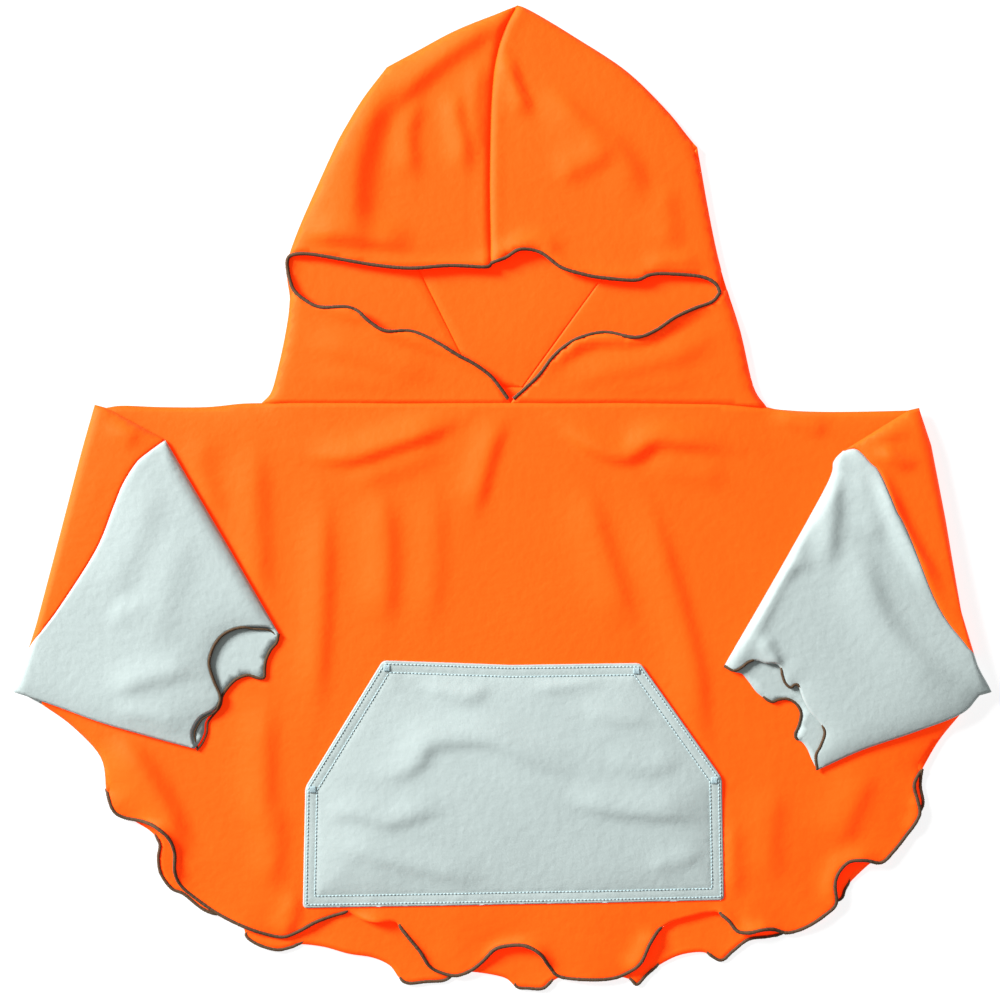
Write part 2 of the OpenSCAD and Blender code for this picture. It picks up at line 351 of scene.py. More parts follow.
hood_left_edge = smooth([
    neck_left, (-173, 77), (-168, 94), (-162, 122), (-159, 146), (-161, 168), (-154, 195), (-122, 266)])
hood_left_crown = chain(
    smooth([(-122, 266), (-104, 296), (-86, 321)]),
    smooth([(-86, 321), (-60, 335), (-35, 348), (-1, 362), (12, 368)]))
hood_right_edge = smooth([neck_right, (189, 82), (179, 124), (165, 169), (156, 210), (147, 261)])
hood_right_crown = smooth([(147, 261), (141, 268), (123, 290), (93, 319), (55, 344), (25, 362), (12, 368)])

seam_top = (12, 368)
centre_seam = smooth([seam_top, (0, 344), (-7, 306), (-9, 240), (-8, 174)])
lip_top_left = smooth([
    (-160, 165), (-161, 175), (-158, 180), (-147, 181), (-132, 179), (-99, 173), (-69, 170), (-39, 172),
    (-12, 171), (-8, 174)])
lip_top_right = smooth([
    (-8, 174), (3, 178), (14, 184), (29, 182), (44, 171), (59, 166), (74, 163), (100, 161), (111, 165),
    (123, 166), (149, 164), (160, 159), (164, 152)])
lip_bottom_left = smooth([
    (-160, 165), (-156, 154), (-147, 146), (-136, 141), (-117, 141), (-108, 138), (-99, 130), (-87, 123),
    (-69, 123), (-57, 119), (-46, 113), (-33, 105), (-20, 98), (-7, 88), (5, 72)])
lip_bottom_right = smooth([
    (9, 72), (20, 82), (29, 91), (38, 103), (48, 112), (59, 118), (78, 122), (100, 118), (115, 123),
    (130, 133), (145, 140), (158, 145), (164, 152)])
nape_y = NECK_Y + 12
left_gusset_seam = np.array([(-18, nape_y), (-106, 258)])
right_gusset_seam = np.array([(16, nape_y), (136, 246)])

left_armhole = smooth([
    (-252, 41), (-264, 32), (-273, 24), (-283, 8), (-290, -9), (-303, -41), (-329, -82), left_cross])
left_sleeve_top = smooth([(-252, 41), (-226, -3), (-196, -54), (-167, -104)])
left_upper_cuff = smooth([
    (-167, -104), (-173, -99.5), (-182, -98.4), (-192, -98.7), (-201, -100.6), (-209, -105), (-215, -112.6),
    (-218.5, -122), (-218.5, -129), (-215, -140), (-211, -149), (-211, -155), (-216, -161), (-225, -166),
    (-230, -173), (-232, -180), (-230, -190)])
left_lower_cuff = smooth([
    (-167, -104), (-168.5, -110.5), (-173, -116), (-176.5, -123.5), (-177.5, -130), (-178, -136.6),
    (-183, -137), (-190, -135), (-198, -137.7), (-204, -143), (-209, -150), (-211, -157), (-217, -163),
    (-222, -170), (-223, -178), (-226, -185), (-230, -190)])
left_sleeve_under = smooth([(-230, -190), (-260, -182), (-301, -170), (-331, -159), left_fold[1]])

right_armhole = smooth([
    (256, 33), (266, 34), (276, 24), (283, 16), (294, -11), (302, -26), (327, -84), right_cross])
right_sleeve_top = smooth([(256, 33), (249, 25), (244, 8), (208, -57), (167, -128)])
right_upper_cuff = smooth([
    (167, -128), (174, -131.4), (180, -128.7), (184, -125.4), (188.5, -123.8), (193, -124.3), (198, -126),
    (205, -126), (209, -130), (210.3, -135), (212.5, -140.7), (216.3, -144), (219.6, -141.8), (222.3, -143),
    (225.6, -152.7), (231, -162.5), (238.7, -171.3), (242, -178), (239, -187.7), (235.4, -195.3),
    (236.5, -206)])
right_lower_cuff = smooth([
    (167, -128), (174, -132.5), (180, -134), (185, -139.6), (190.7, -147.3), (196, -151.6), (202.7, -154.9),
    (208, -153.3), (213.6, -152.7), (219, -154.9), (223, -159.3), (224.5, -164.7), (223, -172.4),
    (220.2, -179), (221.3, -183.3), (225, -185), (229, -190), (232.2, -197.5), (236.5, -206)])
right_sleeve_under = smooth([(236.5, -206), (270, -191), (308, -178), (344, -164), right_fold[1]])


def with_neighbours(corners):
    """Each corner of a polygon, between the one before it and the one after it."""
    return zip(np.roll(corners, 1, axis=0), corners, np.roll(corners, -1, axis=0))


def rounded(corners, radius, count=4):
    """The polygon with a round arc at each corner."""
    out = []
    for last, here, following in with_neighbours(corners):
        u = (last - here) / np.linalg.norm(last - here)
        v = (following - here) / np.linalg.norm(following - here)
        for t in np.linspace(0, 1, count):
            out.append(here + radius * ((1 - t) ** 2 * u + t**2 * v))
    return np.array(out)


pouch_corners = np.array([
    (-89, -124), (8, -127.5), (104, -126), (165, -212), (167, -304), (-149, -310), (-147, -219)], float)
pouch_rim = rounded(pouch_corners, 3)

# ---------- folds of each panel: path, height, steep width, gentle width ----------

front_folds = [
    ([(-28, 58), (-54, 47), (-87, 36), (-114, 28), (-150, 30)], 2.8, 5, 14),
    ([(-40, 36), (-76, 22), (-118, 8)], 1.0, 8, 14),
    ([(178, 34), (141, 39), (115, 41), (93, 29), (66, 37), (38, 59)], 2.8, 5, 12),
    ([(172, 12), (140, 16), (108, 24)], 1.0, 8, 12),
    ([(4, 60), (-8, 34), (-22, -18)], 1.8, 5, 13),
    ([(-186, 44), (-184, -20), (-180, -84)], 1.6, 9, 16),
    ([(-178, -150), (-178, -215), (-180, -260)], 1.6, 8, 16),
    ([(-134, 6), (-134, -70), (-140, -170)], 1.7, 7, 14),
    ([(-92, 8), (-86, -40), (-88, -104)], 1.8, 8, 16),
    ([(-52, 10), (-50, -50), (-56, -104)], 0.9, 8, 14),
    ([(60, 10), (76, -40), (98, -104)], 1.6, 8, 18),
    ([(104, 6), (126, -60), (145, -132), (150, -200)], 1.8, 7, 18),
    ([(246, 46), (226, 53), (203, 61)], 1.5, 5, 9),
    ([(-210, 44), (-226, 24), (-214, -20)], 1.0, 10, 14),
    ([(-294, -176), (-268, -208), (-250, -240), (-237, -274)], 3.2, 9, 20),
    ([(-172, -225), (-170, -262), (-176, -300)], 1.4, 8, 14),
    ([(206, -215), (200, -260), (204, -296)], 1.2, 9, 16),
    ([(276, -205), (262, -236), (250, -266)], 1.6, 9, 18),
    ([(176, -304), (171, -284), (170, -240)], 1.4, 6, 10),
]
hem_ruffles = [
    ([(-277, -247), (-260, -251), (-250, -262), (-247, -280), (-240, -295)], 2.7, 5, 7),
    ([(-150, -298), (-158, -316), (-166, -336)], 1.4, 6, 10),
    ([(-114, -317), (-92, -322), (-75, -333), (-60, -349), (-50, -361)], 2.7, 5, 7),
    ([(-16, -352), (-4, -343), (7, -339), (18, -339), (29, -345), (39, -359)], 2.4, 5, 6),
    ([(121, -326), (112, -337), (105, -350), (93, -362)], 2.6, 6, 9),
    ([(158, -306), (169, -319), (180, -328), (196, -327), (214, -330)], 2.4, 5, 6),
    ([(288, -276), (270, -274), (256, -279), (250, -290), (250, -303), (244, -315)], 2.6, 6, 9),
    ([(303, -256), (313, -240), (310, -222)], 1.4, 6, 7),
]
hood_folds = [
    ([(-80, 322), (-99, 284), (-110, 246), (-112, 212), (-112, 178)], 3.9, 12, 34),
    ([(10, 362), (-30, 338), (-64, 312), (-94, 282)], 2.4, 7, 14),
    ([(-30, 306), (-34, 290), (-29, 262), (-26, 238)], 1.9, 5, 10),
    ([(-62, 300), (-70, 270), (-66, 234)], 1.7, 6, 12),
    ([(-16, 330), (-20, 290), (-18, 250)], 1.2, 5, 8),
    ([(3, 332), (10, 308), (22, 282)], 2.3, 4, 9),
    ([(30, 310), (56, 280), (92, 250), (106, 210)], 2.2, 9, 18),
    ([(84, 262), (66, 250), (38, 238)], 1.6, 8, 14),
    ([(120, 236), (124, 204), (128, 180)], 1.2, 9, 14),
    ([(-62, 186), (-108, 193), (-152, 196)], 2.8, 6, 14),
    ([(46, 178), (26, 190), (0, 182)], 1.6, 4, 8),
    ([(152, 172), (126, 174), (104, 170)], 1.4, 4, 8),
]
lip_folds = [
    ([(0, 84), (-40, 108), (-84, 122), (-106, 134), (-152, 146)], 2.0, 5, 6),
    ([(164, 150), (128, 132), (100, 118), (60, 115), (26, 89)], 2.7, 5, 6),
    ([(162, 160), (100, 162), (60, 166), (14, 183), (-20, 172), (-69, 171), (-132, 180), (-158, 178)],
     1.3, 6, 7),
    ([(-44, 86), (-84, 98), (-116, 108), (-150, 116)], 1.4, 8, 14),
    ([(166, 124), (128, 104), (84, 94), (44, 84)], 1.5, 8, 14),
    ([(-60, 78), (-100, 84), (-146, 92)], 0.7, 7, 10),
    ([(150, 88), (110, 82), (66, 79)], 0.7, 7, 10),
]
pouch_folds = [
    ([(-6, -140), (-24, -151), (-44, -147), (-64, -137)], 1.3, 5, 12),
    ([(80, -133), (61, -139), (37, -143), (18, -140)], 1.7, 4.5, 12),
    ([(114, -168), (88, -168), (58, -160)], 0.8, 5, 10),
    ([(66, -208), (44, -204), (17, -194), (-6, -184), (-33, -183), (-54, -187), (-64, -201), (-80, -209),
      (-104, -211)], 2.0, 6, 16),
    ([(152, -241), (129, -239), (105, -238), (78, -235), (44, -226)], 2.1, 5, 16),
    ([(-40, -232), (-64, -239), (-84, -245), (-108, -239), (-138, -236)], 1.4, 5, 12),
    ([(-8, -292), (-61, -279), (-91, -272), (-108, -266), (-134, -266)], 1.3, 6, 12),
    ([(154, -266), (129, -276), (106, -280)], 0.9, 5, 10),
    ([(138, -195), (108, -205), (74, -195)], 0.9, 6, 12),
]
left_sleeve_folds = [
    ([(-262, 16), (-272, -30), (-300, -84)], 0.8, 12, 18),
    ([(-236, -20), (-252, -70), (-262, -120)], 0.8, 14, 20),
    ([(-226, -130), (-258, -136), (-296, -148)], 1.0, 6, 12),
    ([(-236, -174), (-262, -166), (-292, -160)], 0.8, 5, 9),
    ([(-290, -100), (-280, -84), (-262, -88)], 0.6, 6, 10),
]
right_sleeve_folds = [
    ([(247, 26), (247, -8), (243, -58)], 1.4, 6, 10),
    ([(238, -2), (218, -42), (195, -88), (179, -120)], 1.3, 5, 9),
    ([(262, -30), (284, -92), (316, -128), (348, -140)], 1.6, 9, 20),
    ([(262, 20), (276, -10), (280, -40)], 1.0, 8, 12),
    ([(232, -50), (222, -52), (206, -60)], 0.8, 5, 7),
    ([(194, -104), (201, -116), (210, -130)], 1.4, 3, 6),
]
left_wing_folds = [
    ([(-304, 52), (-290, 50), (-268, 42)], 2.4, 4, 8),
    ([(-296, 30), (-314, -10), (-326, -50)], 0.7, 8, 14),
]
right_wing_folds = [
    ([(316, 50), (292, 46), (262, 44)], 3.0, 4, 8),
    ([(322, 26), (300, 24), (278, 35)], 3.2, 4, 7),
    ([(279, 24), (298, -22), (317, -54), (336, -82)], 3.4, 5, 8),
]

# ---------- height of each layer ----------


left_sleeve_zone = chain([left_corner], left_sleeve_top, left_lower_cuff, left_sleeve_under)
right_sleeve_zone = chain([right_corner], right_sleeve_top, right_lower_cuff, right_sleeve_under)


def front_base(p):
    """The body's front layer without its folds. It comes down at its seams and towards the hem."""
    hem_off = distance(p, front_hem)
    seams = distance(p, left_shoulder, right_shoulder, left_side, right_side)
    at_fold = distance(p, left_fold, right_fold)
    z = FRONT + gentle_waves(p, 0.16) - 2.9 * np.exp(-hem_off / 26)
    z = z - 2.6 * np.exp(-seams / 7) * (1 - np.exp(-((at_fold / 26) ** 2)))
    flat = np.exp(-at_fold / 9)
    return z * (1 - flat) + FRONT * flat


def front_height(p):
    """The body's front layer with its folds, which stop at the sleeves and the pouch that lie on it."""
    hem_off, hem_run, _ = nearest(p, front_hem)
    wave = 1.1 * np.sin(hem_run / 10.5 + 1.3 * np.sin(hem_run / 33)) * np.exp(-hem_off / 11)
    neck = 1 - np.exp(-(((NECK_Y - p[:, 1]) / 6) ** 2))
    free = outside(p, left_sleeve_zone, 10) * outside(p, right_sleeve_zone, 10) * outside(p, pouch_rim, 7)
    return front_base(p) + (wave + folds(p, front_folds) + folds(p, hem_ruffles)) * neck * free


def back_height(p):
    """The body's back layer, which lies on the floor and comes up at its seams and its hem."""
    hem_off, hem_run, _ = nearest(p, back_hem)
    seams = distance(p, left_shoulder, right_shoulder, left_side, right_side)
    at_fold = distance(p, left_fold, right_fold)
    z = BACK_LEVEL + (1.1 + 0.5 * np.sin(hem_run / 9)) * np.exp(-hem_off / 9)
    z = z + 2.4 * np.exp(-seams / 4) * (1 - np.exp(-((at_fold / 14) ** 2)))
    return z


def between_body_layers(p):
    return (front_height(p) + back_height(p)) / 2


def hood_front_height(p):
    """The hood's front layer, rounded where the cloth turns round its edge and sewn down at the crown."""
    turned = distance(p, hood_left_edge, hood_right_edge)
    crown = distance(p, hood_left_crown, hood_right_crown)
    neck = 1 - np.exp(-(((p[:, 1] - NECK_Y) / 9) ** 2))
    z = FRONT + gentle_waves(p, 0.2) * neck
    z = z + (folds(p, hood_folds) + folds(p, lip_folds)) * neck
    z = z + groove(p, centre_seam, 2.4, 1.7) + 0.5 * np.exp(-(((distance(p, centre_seam) - 6) / 3) ** 2))
    z = z + groove(p, smooth([(170, 160), (173, 147), (181, 128)]), 2.0, 2.4)
    z = z - 2.4 * np.exp(-((turned / 3.2) ** 1.4))
    return z - 2.6 * np.exp(-crown / 6)


def hood_back_height(p):
    turned = distance(p, hood_left_edge, hood_right_edge)
    crown = distance(p, hood_left_crown, hood_right_crown)
    calm = 1 - np.exp(-(((p[:, 1] - nape_y) / 20) ** 2))
    z = BACK_LEVEL + (0.9 + gentle_waves(p, 0.2)) * calm
    z = z + 1.7 * np.exp(-((turned / 4.5) ** 1.4)) + 1.5 * np.exp(-crown / 5)
    for seam, depth in ((left_gusset_seam, 1.8), (right_gusset_seam, 0.35)):
        z = z + groove(p, seam, depth, 1.8) * calm
    return np.maximum(z, CLOTH / 2 + 0.03)


def folded_heights(side):
    """The lower and the upper layer of a folded sleeve, as two functions of the place."""
    fold, top, under, armhole, cuff, table, shoulder = {
        "left": (left_fold, left_sleeve_top, left_sleeve_under, left_armhole, left_upper_cuff,
                 left_sleeve_folds + left_wing_folds, [left_corner, (-252, 41)]),
        "right": (right_fold, right_sleeve_top, right_sleeve_under, right_armhole, right_upper_cuff,
                  right_sleeve_folds + right_wing_folds, [right_corner, (256, 33)]),
    }[side]

    def fullness(p):
        """0 where the two layers are held together, 1 where they are furthest apart."""
        sewn = distance(p, shoulder, under)
        turned = np.clip(distance(p, top) / 9, 0, 1)
        at_top = 1 - (1 - turned) ** 2.2
        return np.minimum(1 - np.exp(-sewn / 9), at_top)

    def lower(p):
        calm = 1 - np.exp(-distance(p, fold) / 9)
        return LOWER + (0.5 + 1.0 * (1 - fullness(p))) * calm

    def upper(p):
        calm = 1 - np.exp(-((distance(p, fold) / 16) ** 2))
        q = fullness(p)
        z = SEWN_LEVEL + (UPPER - SEWN_LEVEL) * q + folds(p, table) * calm * (0.3 + 0.7 * q)
        z = z + gentle_waves(p, 0.14) * calm
        z = z - 2.6 * q * np.exp(-distance(p, cuff) / 11)
        return z + groove(p, armhole, 0.7, 1.6) * calm

    return lower, upper


# ---------- meshes ----------


def fill(outline, spacing, lines=()):
    """Points and triangles that fill an outline. Points also lie along the given lines."""
    rim = dense(np.array(outline, float), RIM_STEP)
    low, high = rim.min(0), rim.max(0)
    rows = np.arange(low[1], high[1], spacing * math.sqrt(3) / 2)
    grid = np.array([
        (x + (spacing / 2 if i % 2 else 0), y)
        for i, y in enumerate(rows)
        for x in np.arange(low[0], high[0], spacing)
    ])
    grid = grid[inside(grid, rim)]
    grid = grid[distance(grid, closed(rim)) > 0.6 * spacing]
    extra = []
    for line in lines:
        dots = resample(line, SEAM_STEP)
        dots = dots[inside(dots, rim)]
        if len(dots):
            dots = dots[distance(dots, closed(rim)) > 0.8]
        if len(dots) < 2:
            continue
        grid = grid[distance(grid, dots) > 1.4]
        extra.append(dots)
    places = np.vstack([rim, *extra, grid])
    loop = [(i, (i + 1) % len(rim)) for i in range(len(rim))]
    found = delaunay_2d_cdt([Vector(p) for p in places], loop, [], 1, 1e-4, False)
    points = np.array([tuple(v) for v in found[0]])
    corners = points[np.array(found[2])]
    kept = inside(corners.mean(axis=1), rim)
    ab, ac = corners[:, 1] - corners[:, 0], corners[:, 2] - corners[:, 0]
    anticlockwise = ab[:, 0] * ac[:, 1] > ab[:, 1] * ac[:, 0]
    faces = [
        tuple(face) if turn else tuple(reversed(face))
        for face, keep, turn in zip(found[2], kept, anticlockwise)
        if keep
    ]
    return points, faces


def offsets(line, distances):
    """The line moved sideways by each of the distances, for a finer mesh beside a seam."""
    line = resample(line, SEAM_STEP)
    normal = leftward(line)
    return [line + d * normal for d in distances]


class Build:
    """Collects points and faces of one piece."""

    def __init__(self):
        self.points = []
        self.faces = []
        self.cut = 0.0

    def add(self, points, faces):
        start = len(self.points)
        self.points.extend(map(tuple, points))
        self.faces.extend(tuple(start + i for i in face) for face in faces)

    def patch(self, outline, height, spacing, lines=(), turned_over=False):
        """A patch of cloth with the given outline and height."""
        places, faces = fill(outline, spacing, lines)
        self.cut += abs(signed_area(outline))
        if turned_over:
            faces = [tuple(reversed(face)) for face in faces]
        self.add(np.column_stack([places, height(places)]), faces)
        return self

    def turned_patch(self, outline, height, fold, spread, outward, cross_share, slant, spacing, lines):
        """A patch whose cloth turns down and under along the fold line at its edge. spread is how far the
        turn stands out beyond the fold line at each share of its length. The turn leans along the fold line
        near the armhole seam, which crosses it at that slant."""
        places, faces = fill(outline, spacing, lines)
        start = len(self.points)
        self.add(np.column_stack([places, height(places)]), faces)
        fold = np.array(fold, float)
        whole = np.linalg.norm(fold[1] - fold[0])
        heading = (fold[1] - fold[0]) / whole
        across = np.array([heading[1], -heading[0]])
        across = across if across[0] * outward > 0 else -across
        on_fold = np.flatnonzero(np.abs((places - fold[0]) @ across) < 0.05)
        share = (places[on_fold] - fold[0]) @ heading / whole
        order = np.argsort(share)
        columns, half_turn = [], []
        for index, part in zip(on_fold[order], share[order]):
            top = self.points[start + index]
            tall = top[2] - HINGE
            wide = np.interp(part, *zip(*spread))
            lean = slant * math.exp(-(((part - cross_share) * whole / 36) ** 2))
            lean *= step_up((1 - part) / (1 - cross_share))
            column = [start + index]
            for turn in np.linspace(90, -90, 15)[1:]:
                out = places[index] + across * wide * math.cos(math.radians(turn))
                out = out + heading * lean * wide * math.radians(min(90 - turn, 90))
                column.append(len(self.points))
                self.points.append((*out, HINGE + tall * math.sin(math.radians(turn))))
            column.append(len(self.points))
            inner = places[index] - 2 * across + heading * lean * wide * math.pi / 2
            self.points.append((*inner, HINGE - tall))
            columns.append(column)
            half_turn.append(math.pi * math.hypot(wide, tall) / math.sqrt(2) + 2)
        self.cut += abs(signed_area(outline)) + np.mean(half_turn) * np.ptp(share) * whole
        for one, two in zip(columns[:-1], columns[1:]):
            for k in range(len(one) - 1):
                face = (one[k], one[k + 1], two[k + 1], two[k])
                self.faces.append(face if outward < 0 else tuple(reversed(face)))
        return self

    def tube(self, centre, radii, sides=6):
        """A closed tube along a line."""
        centre = np.array(centre, float)
        radii = np.broadcast_to(radii, len(centre))
        heading = np.gradient(centre, axis=0)
        heading /= np.linalg.norm(heading, axis=1)[:, None]
        across = np.cross(heading, (0, 0, 1.0))
        across /= np.linalg.norm(across, axis=1)[:, None]
        up = np.cross(across, heading)
        turn = np.arange(sides) * 2 * math.pi / sides
        rings = (
            centre[:, None]
            + radii[:, None, None] * np.cos(turn)[None, :, None] * across[:, None]
            + radii[:, None, None] * np.sin(turn)[None, :, None] * up[:, None]
        )
        faces = []
        for i in range(len(centre) - 1):
            for k in range(sides):
                m = (k + 1) % sides
                faces.append((i * sides + k, i * sides + m, (i + 1) * sides + m, (i + 1) * sides + k))
        last = (len(centre) - 1) * sides
        faces.append(tuple(reversed(range(sides))))
        faces.append(tuple(range(last, last + sides)))
        self.add(rings.reshape(-1, 3), [tuple(reversed(f)) for f in faces])
        return self

    def finish(self, name, material, thickness=0.0):
        mesh = bpy.data.meshes.new(name)
        mesh.from_pydata((np.array(self.points) * MM).tolist(), [], self.faces)
        mesh.update()
        mesh.shade_smooth()
        mesh.materials.append(material)
        piece = bpy.data.objects.new(name, mesh)
        bpy.context.scene.collection.objects.link(piece)
        if thickness:
            solid = piece.modifiers.new("Thickness", "SOLIDIFY")
            solid.thickness = thickness * MM
            solid.offset = 0
            make_final(piece)
        return piece


def make_final(piece):
    """Applies the piece's modifiers."""
    graph = bpy.context.evaluated_depsgraph_get()
    mesh = bpy.data.meshes.new_from_object(piece.evaluated_get(graph))
    piece.modifiers.clear()
    piece.data = mesh


# ---------- materials ----------


def node_material(name):
    material = bpy.data.materials.new(name)
    material.use_nodes = True
    nodes = material.node_tree.nodes
    return material, nodes, material.node_tree.links, nodes["Principled BSDF"]


def mixed_colour(nodes, links, factor, dark, light):
    mix = nodes.new("ShaderNodeMix")
    mix.data_type = "RGBA"
    mix.inputs["A"].default_value = (*dark, 1)
    mix.inputs["B"].default_value = (*light, 1)
    links.new(factor, mix.inputs["Factor"])
    return mix.outputs["Result"]


def noise(nodes, links, where, scale, detail):
    pattern = nodes.new("ShaderNodeTexNoise")
    pattern.inputs["Scale"].default_value = scale
    pattern.inputs["Detail"].default_value = detail
    links.new(where, pattern.inputs["Vector"])
    return pattern.outputs["Fac"]


def bumped(nodes, links, height, strength, depth):
    bump = nodes.new("ShaderNodeBump")
    bump.inputs["Strength"].default_value = strength
    bump.inputs["Distance"].default_value = depth
    links.new(height, bump.inputs["Height"])
    return bump


def knit(name, dark, light, roughness, sheen, painted_glow=None, painted_glow_strength=0.0):
    """Fine stretch jersey: knitted columns and rows, mottled by its yarn and slightly uneven dye. Its painted
    glow, where given, is painted light: a red emission that keeps its shaded folds red-orange instead of
    brown.
    """
    material, nodes, links, shader = node_material(name)
    where = nodes.new("ShaderNodeTexCoord").outputs["Object"]

    mottle = noise(nodes, links, where, 38, 5)
    yarn = noise(nodes, links, where, 900, 2)
    shade = nodes.new("ShaderNodeMath")
    shade.operation = "MULTIPLY_ADD"
    shade.inputs[1].default_value = 0.55
    links.new(mottle, shade.inputs[0])
    half = nodes.new("ShaderNodeMath")
    half.operation = "MULTIPLY"
    half.inputs[1].default_value = 0.45
    links.new(yarn, half.inputs[0])
    links.new(half.outputs[0], shade.inputs[2])
    links.new(mixed_colour(nodes, links, shade.outputs[0], dark, light), shader.inputs["Base Color"])

    heights = []
    for direction, scale in (("X", 720), ("Y", 560)):
        wave = nodes.new("ShaderNodeTexWave")
        wave.bands_direction = direction
        wave.inputs["Scale"].default_value = scale
        wave.inputs["Distortion"].default_value = 0.6
        wave.inputs["Detail Scale"].default_value = 2
        links.new(where, wave.inputs["Vector"])
        heights.append(wave.outputs["Fac"])
    stitches = nodes.new("ShaderNodeMath")
    stitches.operation = "MULTIPLY"
    links.new(heights[0], stitches.inputs[0])
    links.new(heights[1], stitches.inputs[1])
    fine = bumped(nodes, links, stitches.outputs[0], 0.3, 0.00015)
    uneven = bumped(nodes, links, noise(nodes, links, where, 150, 3), 0.5, 0.0008)
    links.new(fine.outputs["Normal"], uneven.inputs["Normal"])
    links.new(uneven.outputs["Normal"], shader.inputs["Normal"])

    shader.inputs["Roughness"].default_value = roughness
    shader.inputs["Specular IOR Level"].default_value = 0.18
    shader.inputs["Sheen Weight"].default_value = sheen
    shader.inputs["Sheen Roughness"].default_value = 0.5
    # Painted light: a red emission that keeps the shaded folds red-orange instead of brown.
    if painted_glow:
        shader.inputs["Emission Color"].default_value = (*painted_glow, 1)
        shader.inputs["Emission Strength"].default_value = painted_glow_strength
    return material


def thread(name, dark, light):
    """Twisted sewing thread, with lighter and darker plies."""
    material, nodes, links, shader = node_material(name)
    where = nodes.new("ShaderNodeTexCoord").outputs["Object"]
    plies = noise(nodes, links, where, 700, 3)
    links.new(mixed_colour(nodes, links, plies, dark, light), shader.inputs["Base Color"])
    bump = bumped(nodes, links, plies, 0.4, 0.0002)
    links.new(bump.outputs["Normal"], shader.inputs["Normal"])
    shader.inputs["Roughness"].default_value = 0.8
    shader.inputs["Specular IOR Level"].default_value = 0.15
    return material


MATERIALS = {
    # The orange's red emission is painted light that fills its shade with red.
    "orange_knit": knit(
        "orange_knit", (0.93, 0.126, 0.001), (0.96, 0.152, 0.004), 0.62, 0.03, (1.0, 0.012, 0.0), 0.65),
    "mint_knit": knit("mint_knit", (0.512, 0.606, 0.592), (0.556, 0.645, 0.632), 0.5, 0.12),
    "edge_thread": thread("edge_thread", (0.07, 0.04, 0.022), (0.17, 0.10, 0.055)),
    "seam_thread": thread("seam_thread", (0.62, 0.045, 0.001), (0.82, 0.085, 0.002)),
    "pouch_thread": thread("pouch_thread", (0.50, 0.67, 0.71), (0.60, 0.76, 0.80)),
}


# ---------- pieces ----------


strips = {}


def place(build, name, slot, body, nodes, thickness=0.0, on=None):
    """Makes a piece that rides on a body and stands for the given CAD nodes. on names the sheet of cloth
    that a strip or an edge goes with."""
    piece = build.finish(name, MATERIALS[slot], thickness)
    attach(piece, body)
    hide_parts(*nodes)
    if on:
        strips.setdefault(on, []).append(piece)
    return piece


def cloth(build, name, slot, body, nodes):
    """Makes a sheet of cloth, as thick as the cloth."""
    piece = place(build, name, slot, body, nodes, CLOTH)


def rolled_edge(build, stretches, height, radius):
    """Adds a rolled hem: a round edge wrapped tightly in thread. stretches are lines with the cloth to their
    left, each with how far the edge is tucked under the cloth there."""
    line = chain(*[s[0] for s in stretches])
    tuck = np.concatenate([
        np.broadcast_to(s[1], len(s[0]))[1 if i else 0 :] for i, s in enumerate(stretches)
    ])
    fine = resample(np.column_stack([line, tuck[: len(line)]]), ROLL_STEP)
    kernel = np.hanning(25) / np.hanning(25).sum()
    tucked = np.convolve(np.pad(fine[:, 2], 12, mode="edge"), kernel, mode="valid")
    flat = fine[:, :2] + leftward(fine[:, :2]) * tucked[:, None]
    run = np.arange(len(flat)) * ROLL_STEP
    wraps = 1 + 0.10 * np.sin(run * 2 * math.pi / THREAD_REPEAT) + 0.05 * rng.standard_normal(len(run))
    radii = radius * wraps * np.clip(1 - 0.16 * tucked, 0.25, 1)
    z = np.maximum(np.minimum(height(fine[:, :2]), height(flat)) - 0.55 * tucked, radii)
    build.tube(np.column_stack([flat, z]), radii, sides=8)
    return build


def stitch_line(build, line, height):
    """Adds a row of separate stitches that dip into the cloth at both ends."""
    fine = resample(line, STITCH_STEP)
    run = np.arange(len(fine)) * STITCH_STEP
    share = np.linspace(-0.5, 0.5, 6)
    bow = np.array([-0.5, 0.05, 0.28, 0.28, 0.05, -0.5])
    thick = np.array([0.55, 1, 1.1, 1.1, 1, 0.55])
    for centre in np.arange(STITCH_PITCH / 2, run[-1] - STITCH_PITCH / 2, STITCH_PITCH):
        at = centre + share * STITCH_LENGTH
        places = np.column_stack([np.interp(at, run, fine[:, 0]), np.interp(at, run, fine[:, 1])])
        z = height(places) + STITCH_LIFT + bow * 0.7
        build.tube(np.column_stack([places, z]), STITCH_RADIUS * thick * rng.uniform(0.9, 1.1))
    return build


def allowance(build, line, height, width, side, lift=0.0, start=RIBBON_START):
    """Adds a seam allowance: a narrow ribbon with overlock loops over its edge. It follows the cloth where
    that falls away from the seam, and never sinks into the floor."""
    line = resample(line, SEAM_STEP / 2)
    normal = leftward(line) * side
    count = len(line)
    rows = []
    for i, share in enumerate((0, 0.35, 0.7, 1.0)):
        ripple = 0.18 * np.sin(np.arange(count) * 2.1 + i) + 0.12 * (i == 3)
        places = line + normal * (start + width * share)
        level = np.minimum(height(line), height(places)) + lift + ripple
        rows.append(np.column_stack([places, np.maximum(level, LOOP_LEVEL)]))
    faces = []
    for r in range(3):
        for i in range(count - 1):
            here = r * count + i
            faces.append((here, here + 1, here + count + 1, here + count))
    build.add(np.vstack(rows), faces)
    build.tube(rows[-1], 0.4 * (1 + 0.3 * np.sin(np.arange(count) * 2.6)))
    return build


# ---------- body ----------


def body_outline(hem, neck):
    """From the left end of the neck round the body to its right end, and back along the neck."""
    return chain(
        left_shoulder, [left_cross], [left_underarm], left_side, hem, back(right_side), [right_cross],
        back(right_shoulder), neck)


front_neck = back(neck_seam[1:-1])
back_neck = np.array([(194, NECK_Y - 11.5), (-177, NECK_Y - 11.5)])
front_outline = body_outline(front_hem, front_neck)
back_outline = body_outline(back_hem, back_neck)

